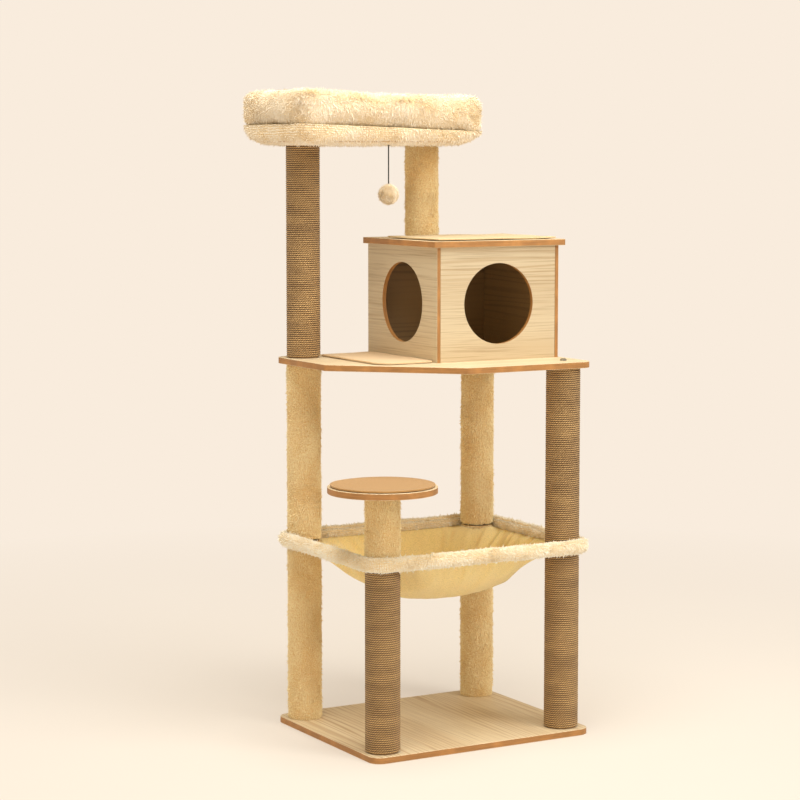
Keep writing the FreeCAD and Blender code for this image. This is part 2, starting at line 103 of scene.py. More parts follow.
class TreeColours(bpy.types.PropertyGroup):
    laminate: colour("Laminate", "The light of the ash-pattern laminate", 235, 217, 182)
    grain: colour("Grain", "The lines of the laminate's grain", 188, 150, 100)
    edge: colour("Board edge", "The cut edges of the boards", 184, 130, 72)
    # Painted shade: the house's inner faces take this darker colour for the dim inside of the house.
    inside: colour("House inside", "The inner faces of the house", 150, 120, 78)
    rope: colour("Sisal", "The crests of the sisal rope", 255, 210, 142)
    # The groove colour is painted shade in the rope's grooves; it also darkens random patches of the
    # fibre.
    rope_shade_and_dark: colour("Sisal grooves", "The grooves of the sisal rope", 78, 44, 20)
    fleece: colour("Fleece", "The tips of the fleece", 255, 240, 196)
    # The root colours are painted shade deep in the pile, under the tufts' tips.
    fleece_root_shade: colour("Fleece roots", "The roots of the fleece", 224, 182, 108)
    pale: colour("Pale fleece", "The tips of the fleece on the perch", 253, 244, 228)
    pale_root_shade: colour("Pale roots", "The roots of the fleece on the perch", 246, 222, 172)
    rim: colour("Rim", "The tips of the fleece on the hammock's rim", 255, 252, 240)
    sling: colour("Hammock", "The cloth of the hammock's bowl", 255, 226, 164)
    felt: colour("Felt", "The felt of the platform's mat", 208, 164, 106)
    # The step's felt is more orange than the platform's, and painted darker still as shade against the
    # strong light on it.
    step_felt: colour("Step felt", "The felt of the step's mat", 192, 148, 94)
    # Painted light: the roof's felt is a lighter copy of the felt, for the sheen it shows at a grazing
    # view.
    roof_felt: colour("Roof felt", "The felt of the mat on the roof", 236, 212, 168)
    backdrop: colour("Backdrop", "The floor and the air behind the tree", 249, 236, 221)


# Materials

class Finish:
    """A material, and the nodes that it is made of."""

    def __init__(self, name, **sockets):
        self.material = bpy.data.materials.new(name)
        self.material.use_nodes = True
        self.tree = self.material.node_tree
        self.shader = self.tree.nodes["Principled BSDF"]
        for socket, value in sockets.items():
            self.shader.inputs[socket.replace("_", " ")].default_value = value
        self.place = self.add("ShaderNodeTexCoord").outputs["Object"]

    def add(self, kind, inputs=None, **settings):
        node = self.tree.nodes.new(kind)
        for setting, value in settings.items():
            setattr(node, setting, value)
        for socket, value in (inputs or {}).items():
            self.feed(node.inputs[socket], value)
        return node

    def feed(self, socket, value):
        if isinstance(value, bpy.types.NodeSocket):
            self.tree.links.new(value, socket)
        elif hasattr(socket.default_value, "__len__") and len(value) < len(socket.default_value):
            socket.default_value = (*value, 1)
        else:
            socket.default_value = value

    def maths(self, operation, first, second=0.0):
        return self.add("ShaderNodeMath", {0: first, 1: second}, operation=operation).outputs[0]

    def mix(self, share, first, second, kind="MIX"):
        node = self.add("ShaderNodeMix", {0: share, 6: first, 7: second}, data_type="RGBA",
                        blend_type=kind)
        return node.outputs[2]

    def spread(self, value, low, high, to_low=0.0, to_high=1.0):
        """A value taken from one range to another, and kept within it."""
        return self.add("ShaderNodeMapRange", {"Value": value, "From Min": low, "From Max": high,
                                               "To Min": to_low, "To Max": to_high}).outputs[0]

    def stretched(self, scale, shift=(0, 0, 0), turn=(0, 0, 0)):
        return self.add("ShaderNodeMapping", {"Vector": self.place, "Scale": scale,
                                              "Location": shift, "Rotation": turn}).outputs[0]

    def noise(self, scale, detail=2.0, where=None, roughness=0.5, distortion=0.0):
        return self.add("ShaderNodeTexNoise", {
            "Vector": where or self.place, "Scale": scale, "Detail": detail,
            "Roughness": roughness, "Distortion": distortion}).outputs["Fac"]

    def attribute(self, name):
        return self.add("ShaderNodeAttribute", attribute_name=name).outputs["Fac"]

    def bump(self, height, depth, strength=1.0):
        node = self.add("ShaderNodeBump", {"Height": height, "Distance": depth,
                                           "Strength": strength})
        self.feed(self.shader.inputs["Normal"], node.outputs[0])

    def paint(self, socket, value):
        self.feed(self.shader.inputs[socket], value)
        return self.material


def laminate_finish(name, grain, face, shift, inwards=0):
    """Ash-pattern laminate on a board's two faces, and a plain brown cut edge. The chamfers take the
    laminate's light colour as a painted highlight, the house's panels are painted darker as shade, and the
    faces inside the house darker still as painted shade.

    grain and face are the axes that the grain and the board's thickness lie along; inwards is the
    side, -1 or 1, that faces the inside of the house.
    """
    look = bpy.context.scene.tree_colours
    # Painted shade: the house's panels take the laminate at 0.8 of the other boards' brightness.
    house_panel_shade, faces_it = 0.8 if inwards else 1.0, 0.6
    light, line = (scaled(seen, house_panel_shade) for seen in (look.laminate, look.grain))
    board = Finish(name, Roughness=0.5)
    across = ({"X", "Y", "Z"} - {grain, face}).pop()
    along = [0.07 if axis == grain else 1.0 for axis in "XYZ"]
    where = board.stretched(along, shift)
    figure = board.add("ShaderNodeTexWave", {
        "Vector": where, "Scale": 22.0, "Distortion": 26.0, "Detail": 3.0, "Detail Scale": 0.3,
        "Detail Roughness": 0.6}, bands_direction=across).outputs["Fac"]
    lines = board.maths("MULTIPLY", board.spread(figure, 0.6, 1.0),
                        board.spread(board.noise(5, 2, where), 0.42, 0.62, 0.1, 1))
    broad = board.noise(9, 3, where)
    fine = [5.0 if axis == grain else 330.0 for axis in "XYZ"]
    pores = board.spread(board.noise(1, 3, board.stretched(fine, shift), 0.6), 0.5, 0.72)
    wood = board.mix(board.maths("MULTIPLY", lines, 0.75), light, line)
    wood = board.mix(board.spread(broad, 0.4, 0.7, 0, 0.3), wood, line)
    wood = board.mix(board.maths("MULTIPLY", pores, 0.55), wood, scaled(line, 0.7))
    streaks = [650.0 if axis == face else 14.0 for axis in "XYZ"]
    streak = board.noise(1, 3, board.stretched(streaks, shift), 0.65)
    cut = board.mix(board.spread(streak, 0.35, 0.7), look.edge, scaled(look.edge, 0.62))
    cut = board.mix(board.spread(board.noise(30, 3), 0.45, 0.75, 0, 0.4), cut,
                    scaled(look.edge, 1.5))
    outwards = board.add("ShaderNodeSeparateXYZ", {0: board.add("ShaderNodeTexCoord").outputs[
        "Normal"]}).outputs["XYZ".index(face)]
    # Painted shade: the faces inside the house take the darker inside colour, with the grain's lines over
    # it.
    if inwards:
        inner = board.mix(lines, look.inside, scaled(look.inside, 0.6))
        inner_side = board.maths("MULTIPLY", outwards, inwards)
        wood = board.mix(board.maths("GREATER_THAN", inner_side, faces_it), wood, inner)
    # faces_it lets the 45 degree chamfers count as faces, so they take the laminate's light colour, a
    # painted highlight along the boards' edges.
    on_face_or_chamfer = board.maths("GREATER_THAN", board.maths("ABSOLUTE", outwards), faces_it)
    board.bump(board.mix(on_face_or_chamfer, streak, pores), 0.0002, 0.5)
    board.paint("Roughness", board.spread(broad, 0.3, 0.7, 0.44, 0.58))
    return board.paint("Base Color", board.mix(on_face_or_chamfer, cut, wood))


def rope_finish():
    """Three twisted strands of coarse fibre, with painted shade in the grooves between the turns and
    between the strands.
    """
    size, look = bpy.context.scene.tree_sizes, bpy.context.scene.tree_colours
    rope = Finish("sisal_rope", Roughness=0.85)
    rope.shader.inputs["Sheen Weight"].default_value = 0.15
    along, around, crest = (rope.attribute(name) for name in ("along", "around", "crest"))
    strands = 3.0
    turn = rope.maths("SUBTRACT", around,
                      rope.maths("MULTIPLY", along, 2 * math.pi / size.rope_lay))
    strand = rope.spread(rope.maths("COSINE", rope.maths("MULTIPLY", turn, strands)), -1, 0.5)
    fibre_at = rope.add("ShaderNodeCombineXYZ", {
        0: rope.maths("MULTIPLY", along, 130.0), 1: rope.maths("MULTIPLY", turn, 3.4), 2: crest})
    fibre = rope.noise(1.0, 3, fibre_at.outputs[0], 0.65)
    patch = rope.noise(11, 3, rope.stretched((1, 1, 4)))
    straw = rope.mix(rope.spread(fibre, 0.34, 0.68), scaled(look.rope, 0.55), look.rope)
    # Random darker patches of fibre, in the same dark colour as the painted groove shade.
    straw = rope.mix(rope.spread(patch, 0.35, 0.7, 0, 0.35), straw, look.rope_shade_and_dark)
    # Painted shade: where the rope is low, between its turns and between its strands, the groove colour
    # covers the fibre.
    out_of_groove_shade = rope.maths("MULTIPLY", rope.spread(crest, 0.42, 0.96),
                      rope.spread(strand, 0, 1, 0.4, 1))
    height = rope.maths("ADD", strand, rope.maths("MULTIPLY", fibre, 0.8))
    rope.bump(height, 0.0009, 0.8)
    return rope.paint("Base Color", rope.mix(out_of_groove_shade, look.rope_shade_and_dark, straw))


def fleece_finish(name, tip, root, tufted=True):
    """Short fleece: pale tips over warmer, darker roots, the roots' colour a painted shade deep in the
    pile, with dark swirled strokes of painted shade and a nap that catches the light at its edges.
    """
    fleece = Finish(name, Roughness=0.95, Specular_IOR_Level=0.15, Sheen_Weight=0.35,
                    Sheen_Roughness=0.4)
    fleece.shader.inputs["Sheen Tint"].default_value = (1, 0.9, 0.72, 1)
    patches = fleece.noise(16, 3, roughness=0.6)
    drift = fleece.add("ShaderNodeTexNoise", {"Vector": fleece.place, "Scale": 60.0})
    swirl = fleece.add("ShaderNodeVectorMath", {
        0: drift.outputs["Color"], 1: (0.012, 0.012, 0.012), 2: fleece.place},
        operation="MULTIPLY_ADD")
    strokes = fleece.noise(420, 3, swirl.outputs[0], 0.6)
    # share is 1 at the tufts' tips and 0 at their roots, so the root colour comes in as painted shade; on
    # cloth without tufts the strokes give painted light and shade instead.
    share = fleece.attribute("tip") if tufted else fleece.spread(strokes, 0.3, 0.7)
    tip_share_over_root_shade = fleece.maths("MULTIPLY", fleece.spread(share, 0.0, 0.6),
                        fleece.spread(patches, 0.3, 0.7, 0.88, 1.08))
    coat = fleece.mix(tip_share_over_root_shade, root, tip)
    # Painted shade: the low parts of the strokes darken towards the root colour, like the shaded side of a
    # brushed nap.
    coat = fleece.mix(fleece.spread(strokes, 0.35, 0.6, 0.22, 0), coat, scaled(root, 0.7))
    fleece.bump(strokes, 0.0016, 0.6 if tufted else 0.8)
    return fleece.paint("Base Color", coat)


def felt_finish(name, base):
    felt = Finish(name, Roughness=0.92, Specular_IOR_Level=0.15, Sheen_Weight=0.4,
                  Sheen_Roughness=0.5)
    felt.shader.inputs["Sheen Tint"].default_value = (1, 0.9, 0.74, 1)
    fibres = felt.noise(1400, 4, roughness=0.7, distortion=0.8)
    mottle = felt.noise(70, 4, roughness=0.65)
    cloth = felt.mix(felt.spread(fibres, 0.3, 0.7), scaled(base, 0.74), base)
    cloth = felt.mix(felt.spread(mottle, 0.35, 0.7, 0, 0.3), cloth, scaled(base, 0.7))
    felt.bump(fibres, 0.0006, 0.6)
    return felt.paint("Base Color", cloth)


def plain_finish(name, base, dark, scale, stretch=(1, 1, 1), roughness=0.6, metal=0.0,
                 depth=0.0003):
    """A mottled finish for the parts that hardly show."""
    plain = Finish(name, Roughness=roughness, Metallic=metal)
    mottle = plain.noise(scale, 4, plain.stretched(stretch), 0.6)
    plain.bump(mottle, depth, 0.5)
    plain.paint("Roughness", plain.spread(mottle, 0.3, 0.7, roughness - 0.08, roughness + 0.08))
    return plain.paint("Base Color", plain.mix(plain.spread(mottle, 0.35, 0.65), dark, base))


def braid_finish():
    braid = Finish("braided_elastic", Roughness=0.7)
    rows = [braid.add("ShaderNodeTexWave", {"Vector": braid.stretched((1, 1, 1), turn=turn),
                                            "Scale": 260.0}, bands_direction="Z").outputs["Fac"]
            for turn in ((0.7, 0.7, 0), (-0.7, -0.7, 0))]
    plaits = braid.maths("MAXIMUM", *rows)
    braid.bump(plaits, 0.0003, 0.6)
    return braid.paint("Base Color", braid.mix(plaits, shade(14, 12, 10), shade(48, 42, 36)))


def made(name, maker, *words):
    """The material of this name, made the first time that it is asked for."""
    return bpy.data.materials.get(name) or maker(*words)


def fleece():
    look = bpy.context.scene.tree_colours
    return made("fleece", fleece_finish, "fleece", look.fleece, look.fleece_root_shade)


def pale_fleece():
    look = bpy.context.scene.tree_colours
    return made("pale_fleece", fleece_finish, "pale_fleece", look.pale, look.pale_root_shade)


def steel():
    return made("zinc_steel", plain_finish, "zinc_steel", shade(190, 188, 182),
                shade(150, 148, 144), 500, (1, 1, 1), 0.38, 1.0)


# Shapes

def centre_of(node):
    low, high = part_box(node)
    return (low + high) / 2


def wobble(where, scale, seed=0):
    """Smooth noise from -1 to 1."""
    return noise.noise(where * scale + Vector((seed, seed * 1.7, -seed)))


def new_piece(name, bm, body, material, stands_for=(), smooth=True):
    mesh = bpy.data.meshes.new(name)
    bm.to_mesh(mesh)
    bm.free()
    mesh.polygons.foreach_set("use_smooth", [smooth] * len(mesh.polygons))
    mesh.materials.append(material)
    piece = bpy.data.objects.new(name, mesh)
    bpy.context.scene.collection.objects.link(piece)
    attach(piece, body)
    if stands_for:
        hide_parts(*stands_for)
    return piece


def clean(bm, near=0.00001):
    """Merges doubles and turns faces outwards, in an order that is the same each time."""
    bmesh.ops.remove_doubles(bm, verts=bm.verts, dist=near)
    bmesh.ops.recalc_face_normals(bm, faces=bm.faces)
    odd_way = Vector((1, 1.3127, 1.7391))
    bm.verts.sort(key=lambda vert: vert.co.dot(odd_way))
    bm.faces.sort(key=lambda face: face.calc_center_median().dot(odd_way))


def whole(bm):
    return list(bm.verts) + list(bm.edges) + list(bm.faces)


def soften(bm, times, factor=0.5, edges_too=True):
    """Evens out a mesh, with or without its open edges."""
    for _ in range(times):
        verts = [vert for vert in bm.verts if edges_too or not vert.is_boundary]
        bmesh.ops.smooth_vert(bm, verts=verts, factor=factor, use_axis_x=True, use_axis_y=True,
                              use_axis_z=True)


def keep_off(bm, posts, near, clear):
    """Moves what is nearer than near to a post's middle line out to clear."""
    for vert in bm.verts:
        for post in posts:
            away = Vector((vert.co.x - post.x, vert.co.y - post.y, 0))
            if away.length < near:
                vert.co += away.normalized() * (clear - away.length)


def carry_round(bm, loop, centre, half_x, half_y, corner, step):
    """Carries a profile, drawn at the middle of the front side, once round a rounded rectangle."""
    going, geom = Vector((1, 0, 0)), loop
    turned = Matrix.Rotation(math.pi / 2, 3, "Z")
    place = centre + Vector((0, -half_y, 0))
    half_runs = [half_x - corner, 2 * (half_y - corner), 2 * (half_x - corner),
                 2 * (half_y - corner), half_x - corner]
    for index, run in enumerate(half_runs):
        steps = max(1, round(run / step))
        geom = bmesh.ops.spin(bm, geom=geom, cent=place, axis=UP, dvec=going * run / steps,
                              angle=0, steps=steps)["geom_last"]
        place = place + going * run
        if index < 4:
            pivot = place + UP.cross(going) * corner
            steps = max(4, round(corner * math.pi / 2 / step))
            geom = bmesh.ops.spin(bm, geom=geom, cent=pivot, axis=UP, angle=math.pi / 2,
                                  steps=steps)["geom_last"]
            place = pivot + turned @ (place - pivot)
            going = turned @ going
    clean(bm, 0.00005)


def profile(bm, centre, wide, tall, segments):
    """A closed loop in the plane across X, drawn as the first thing in an empty mesh."""
    ring = bmesh.ops.create_circle(bm, segments=segments, radius=1)["verts"]
    for vert in ring:
        vert.co = centre + Vector((0, vert.co.x * wide / 2, vert.co.y * tall / 2))
    return ring + list(bm.edges)


def raise_pile(bm, pile, seed, nap=(0, 0, -1), faces=None, swirl=14.0, ragged=0.42):
    """Turns each face into one tuft, which leans with the nap."""
    luck = random.Random(seed)
    # tip is 1 at the tufts' tips and 0 at their roots; the fleece finishes paint the roots darker with it,
    # as painted shade.
    mark = bm.verts.layers.float.new("tip")
    bm.verts.index_update()
    bm.normal_update()
    faces = list(bm.faces) if faces is None else faces(bm)
    width = math.sqrt(sum(face.calc_area() for face in faces) / len(faces))
    tufted = {vert.index for face in faces for vert in face.verts}
    for vert in (vert for vert in bm.verts if vert.index in tufted):
        push = Vector([luck.uniform(-ragged, ragged) for _ in range(3)]) * width
        vert.co += push - vert.normal * push.dot(vert.normal)
    tips = bmesh.ops.poke(bm, faces=faces, offset=0, center_mode="MEAN")["verts"]
    bm.normal_update()
    nap = Vector(nap)
    for vert in tips:
        out = vert.normal
        drift = nap + 1.3 * noise.noise_vector(vert.co * swirl + Vector((seed, 0, 0)))
        drift += 0.5 * noise.noise_vector(vert.co * 90)
        drift -= out * drift.dot(out)
        tall = pile * luck.uniform(0.5, 1.1) * (1.9 if luck.random() < 0.09 else 1)
        vert.co += out * tall * 0.72 + drift * tall * 0.75
        vert[mark] = 1


def settled(piece):
    """Makes what a piece's modifiers show its own mesh."""
    bpy.context.view_layer.update()
    seen = piece.evaluated_get(bpy.context.evaluated_depsgraph_get())
    mesh = bpy.data.meshes.new_from_object(seen)
    old, name = piece.data, piece.data.name
    piece.modifiers.clear()
    piece.data = mesh
    bpy.data.meshes.remove(old)
    mesh.name = name


def remesh(piece, size):
    modifier = piece.modifiers.new("even", "REMESH")
    modifier.mode, modifier.voxel_size = "VOXEL", size
    settled(piece)


def inflate(piece, pressure, cap, frames=20):
    """Fills a closed cushion with air for a moment, and keeps the shape that its cloth takes."""
    scene = bpy.context.scene
    rest = [vert.co.copy() for vert in piece.data.vertices]
    cloth = piece.modifiers.new("stuffing", "CLOTH")
    cloth.settings.quality = 4
    cloth.settings.use_pressure = True
    cloth.settings.uniform_pressure_force = pressure
    cloth.settings.tension_stiffness = 12
    cloth.settings.compression_stiffness = 12
    cloth.settings.bending_stiffness = 0.4
    cloth.settings.effector_weights.gravity = 0
    cloth.point_cache.frame_end = frames
    for number in range(1, frames + 1):
        scene.frame_set(number)
    seen = piece.evaluated_get(bpy.context.evaluated_depsgraph_get())
    blown = [vert.co.copy() for vert in seen.data.vertices]
    piece.modifiers.clear()
    scene.frame_set(1)
    for vert, start, end in zip(piece.data.vertices, rest, blown):
        moved = end - start
        if moved.length > cap:
            moved *= cap / moved.length
        vert.co = start + moved


def open_mesh(piece):
    bm = bmesh.new()
    bm.from_mesh(piece.data)
    return bm


def put_back(bm, piece, smooth=True):
    bm.to_mesh(piece.data)
    bm.free()
    piece.data.polygons.foreach_set("use_smooth", [smooth] * len(piece.data.polygons))


# Stage

class TREE_OT_stage(bpy.types.Operator):
    """Sets the camera, the floor and the studio lights"""
    bl_idname = "tree.stage"
    bl_label = "Stage"

    def execute(self, context):
        scene, look = context.scene, context.scene.tree_colours
        lens = bpy.data.cameras.new("camera")
        lens.lens, lens.sensor_width, lens.clip_end = 106.36, 36, 100
        camera = bpy.data.objects.new("camera", lens)
        camera.location = (-2.8896, -4.8829, 1.4026)
        camera.rotation_euler = Euler((math.radians(83.991), 0, math.radians(-29.828)))
        scene.collection.objects.link(camera)
        scene.camera = camera

        bm = bmesh.new()
        bmesh.ops.create_circle(bm, cap_ends=True, segments=96, radius=40)
        bmesh.ops.translate(bm, verts=bm.verts, vec=(0, 0, -0.0005))
        mesh = bpy.data.meshes.new("floor")
        bm.to_mesh(mesh)
        bm.free()
        floor = bpy.data.objects.new("floor", mesh)
        scene.collection.objects.link(floor)
        mesh.materials.append(self.floor_finish(look))

        self.lamp(scene, "key", (2.2, -4.6, 3.9), 3.0, 152, (1.0, 0.98, 0.93))
        self.lamp(scene, "fill", (-4.2, -3.2, 2.2), 3.0, 34, (1.0, 0.82, 0.56))
        self.lamp(scene, "top", (-0.5, -0.9, 4.3), 2.8, 134, (1.0, 0.98, 0.92))
        self.air(scene, look)
        scene.view_settings.view_transform = "Standard"
        scene.view_settings.look = "None"
        return {"FINISHED"}

    def lamp(self, scene, name, place, width, power, tint):
        light = bpy.data.lights.new(name, "AREA")
        light.shape, light.size, light.energy, light.color = "DISK", width, power, tint
        lamp = bpy.data.objects.new(name, light)
        lamp.location = place
        aim = Vector((0, 0, 0.75))
        lamp.rotation_euler = (aim - Vector(place)).to_track_quat("-Z", "Y").to_euler()
        scene.collection.objects.link(lamp)

    def floor_finish(self, look):
        floor = Finish("floor", Roughness=1.0, Specular_IOR_Level=0.0)
        floor.paint("Base Color", floor.mix(floor.spread(floor.noise(1.5), 0.3, 0.7), shade(
            236, 229, 219), shade(238, 231, 221)))
        far = floor.spread(floor.add("ShaderNodeVectorMath", {0: floor.place},
                                     operation="LENGTH").outputs["Value"], 0.5, 3.2, 0.45, 1)
        haze = floor.add("ShaderNodeEmission", {"Color": look.backdrop})
        both = floor.add("ShaderNodeMixShader", {0: far, 1: floor.shader.outputs[0],
                                                 2: haze.outputs[0]})
        floor.tree.links.new(both.outputs[0], floor.tree.nodes["Material Output"].inputs[0])
        return floor.material

    def air(self, scene, look):
        world = bpy.data.worlds.new("studio")
        world.use_nodes = True
        tree = world.node_tree
        seen = tree.nodes["Background"]
        seen.inputs[0].default_value = (*look.backdrop, 1)
        glow = tree.nodes.new("ShaderNodeBackground")
        glow.inputs[0].default_value = (1.0, 0.85, 0.65, 1)
        glow.inputs[1].default_value = 0.5
        ray = tree.nodes.new("ShaderNodeLightPath")
        either = tree.nodes.new("ShaderNodeMixShader")
        tree.links.new(ray.outputs["Is Camera Ray"], either.inputs[0])
        tree.links.new(glow.outputs[0], either.inputs[1])
        tree.links.new(seen.outputs[0], either.inputs[2])
        tree.links.new(either.outputs[0], tree.nodes["World Output"].inputs[0])
        scene.world = world


# Toy

class TREE_OT_toy(bpy.types.Operator):
    """Hangs the fleece ball on its elastic cord"""
    bl_idname = "tree.toy"
    bl_label = "Toy"

    def execute(self, context):
        size, look = context.scene.tree_sizes, context.scene.tree_colours
        low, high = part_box("toy_cord")
        at = centre_of("toy_cord")
        top, bottom = high.z, low.z
        black = made("braided_elastic", braid_finish)

        bm = bmesh.new()
        bmesh.ops.create_icosphere(bm, subdivisions=3, radius=3 * MM)
        for vert in bm.verts:
            vert.co *= 1 + 0.14 * wobble(vert.co, 600)
        bmesh.ops.translate(bm, verts=bm.verts, vec=centre_of("toy_knot"))
        knot = new_piece("cord_knot", bm, "toy_pivot", black, ["toy_knot"])

        bm = bmesh.new()
        bmesh.ops.create_icosphere(bm, subdivisions=5, radius=22.5 * MM)
        for vert in bm.verts:
            vert.co *= 1 + 0.03 * wobble(vert.co, 60)
        bmesh.ops.translate(bm, verts=bm.verts, vec=centre_of("toy_ball"))
        raise_pile(bm, 4.2 * MM, 7, (0, 0, 0), swirl=40)
        puff = made("puff", fleece_finish, "puff", look.pale, look.pale_root_shade)
        ball = new_piece("ball_fleece", bm, "toy", puff, ["toy_ball"], False)

        line = bpy.data.curves.new("ball_cord", "CURVE")
        line.dimensions = "3D"
        line.bevel_depth, line.bevel_resolution = size.cord_width / 2, 4
        line.use_fill_caps, line.resolution_u = True, 12
        run = line.splines.new("NURBS")
        heights = [top, top - 6 * size.cord_width, bottom]
        run.points.add(len(heights) - 1)
        for point, height in zip(run.points, heights):
            point.co = (at.x, at.y, height, 1)
        run.order_u = 3
        run.use_endpoint_u = True
        line.materials.append(black)
        cord = bpy.data.objects.new("ball_cord", line)
        context.scene.collection.objects.link(cord)
        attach(cord, "toy")
        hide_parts("toy_cord")
        return {"FINISHED"}


# Boards and hidden parts

class TREE_OT_boards(bpy.types.Operator):
    """Gives the boards, the house and the parts inside the posts their finishes"""
    bl_idname = "tree.boards"
    bl_label = "Boards"

    def execute(self, context):
        boards = {
            "base_board": ("Y", "Z", (0.31, 0.2, 0), 0),
            "platform_board": ("X", "Z", (0.1, 0.77, 0.3), 0),
            "roof_board": ("X", "Z", (0.5, 0.13, 0.9), 0),
            "step_board": ("X", "Z", (0.8, 0.4, 0.1), 0),
            "house_front_panel": ("X", "Y", (0.15, 0.6, 0.043), 1),
            "house_back_panel": ("X", "Y", (0.9, 0.2, 0.61), -1),
            "house_left_panel": ("Y", "X", (0.33, 0.71, 0.27), 1),
            "house_right_panel": ("Y", "X", (0.05, 0.34, 0.85), -1),
        }
        for node, (grain, face, shift, inwards) in boards.items():
            self.finish(node, laminate_finish("ash_" + node, grain, face, shift, inwards))
        wood = plain_finish("bare_wood", shade(214, 184, 140), shade(186, 150, 104), 14,
                            (1, 1, 12), 0.7)
        tube = plain_finish("grey_board_tube", shade(176, 142, 102), shade(150, 118, 82), 160,
                            (1, 1, 0.3), 0.85)
        hooks = plain_finish("hook_tape", shade(226, 216, 196), shade(186, 174, 150), 1800,
                             (1, 1, 1), 0.8, 0.0, 0.0008)
        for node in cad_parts:
            if node.endswith("_core"):
                self.finish(node, tube)
            elif node.endswith("_plugs") or node in ("house_dowels", "perch_board"):
                self.finish(node, wood)
            elif node == "hook_patches":
                self.finish(node, hooks)
            elif node.endswith(("_bolts", "_bolt")) or node in ("post_studs", "hammock_frame"):
                self.finish(node, steel())
        self.bolt_head()
        return {"FINISHED"}

    def finish(self, node, material):
        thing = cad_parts[node]
        if not thing.data.materials:
            thing.data.materials.append(material)
        for place in thing.material_slots:
            place.material = material

    def bolt_head(self):
        """A button head with a round sunk socket, over the plain head by the front right post."""
        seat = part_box("platform_board")[1].z
        at = centre_of("front_right_lower_sisal")
        bm = bmesh.new()
        tall = 4.8 * MM
        bmesh.ops.create_cone(bm, cap_ends=True, segments=48, radius1=8.3 * MM,
                              radius2=6.2 * MM, depth=tall)
        top = max(bm.faces, key=lambda face: face.calc_center_median().z)
        bmesh.ops.bevel(bm, geom=list(top.edges), offset=1.2 * MM, segments=3, affect="EDGES", profile=0.5,
                        material=-1)
        top = max(bm.faces, key=lambda face: (face.calc_center_median().z, face.calc_area()))
        bmesh.ops.inset_region(bm, faces=[top], thickness=2.0 * MM)
        sunk = bmesh.ops.extrude_discrete_faces(bm, faces=[top])["faces"]
        bmesh.ops.translate(bm, verts=sunk[0].verts, vec=(0, 0, -2.2 * MM))
        bmesh.ops.translate(bm, verts=bm.verts, vec=(at.x, at.y, seat + tall / 2))
        clean(bm)
        dark = plain_finish("dark_steel", shade(74, 64, 54), shade(48, 42, 38), 700, (1, 1, 1),
                            0.35, 0.9)
        new_piece("platform_bolt_head", bm, "tree", dark, smooth=False)


# Posts

class TREE_OT_rope_posts(bpy.types.Operator):
    """Winds sisal rope round the scratching posts"""
    bl_idname = "tree.rope_posts"
    bl_label = "Rope posts"

    def execute(self, context):
        size = context.scene.tree_sizes
        straw = made("sisal_rope", rope_finish)
        for number, post in enumerate(SISAL_POSTS):
            node = post + "_sisal"
            low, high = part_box(node)
            self.wind(post, node, size.rope_width, centre_of(node), low.z, high.z,
                      (high.x - low.x) / 2, number, straw)
        return {"FINISHED"}

    def wind(self, post, node, rope, centre, bottom, top, outer, number, material):
        segments, sides = 60, 9
        radius, first = outer - rope / 2, bottom + rope / 2
        turns = round((top - bottom) / rope) - 1
        rise = (top - bottom - rope) / turns
        start = Vector((centre.x + radius, centre.y, first))
        bm = bmesh.new()
        names = ("along", "around", "crest")
        for name in names:
            bm.verts.layers.float.new(name)
        along, around, crest = (bm.verts.layers.float[name] for name in names)
        ring = bmesh.ops.create_circle(bm, segments=sides, radius=rope / 2)["verts"]
        for vert in ring:
            vert.co = start + Vector((vert.co.x, 0, vert.co.y))
        bmesh.ops.spin(bm, geom=ring + list(bm.edges), cent=start - Vector((radius, 0, 0)),
                       axis=UP, dvec=UP * rise / segments, angle=2 * math.pi, steps=segments)
        bmesh.ops.spin(bm, geom=whole(bm), cent=centre, axis=UP, dvec=UP * rise, angle=0,
                       steps=turns - 1, use_duplicate=True)
        bmesh.ops.remove_doubles(bm, verts=bm.verts, dist=0.00002)
        bmesh.ops.holes_fill(bm, edges=[edge for edge in bm.edges if edge.is_boundary], sides=0)
        clean(bm)
        for vert in bm.verts:
            flat = Vector((vert.co.x - centre.x, vert.co.y - centre.y, 0))
            part = math.atan2(flat.y, flat.x) / (2 * math.pi) % 1
            turn = part + round((vert.co.z - first) / rise - part)
            outwards, above = flat.length - radius, vert.co.z - first - turn * rise
            vert[along] = turn * 2 * math.pi * radius
            vert[around] = math.atan2(above, outwards)
            vert[crest] = min(1, max(0, outwards / (rope / 2)))
            thick = 0.05 * wobble(Vector((turn * 9, number * 7, 0)), 1)
            shift = 0.35 * MM * wobble(Vector((turn * 5.3, 3, number * 5)), 1)
            vert.co += flat.normalized() * (outwards * thick + shift)
            vert.co.z += above * thick
        new_piece("rope_" + post, bm, "tree", material, [node])


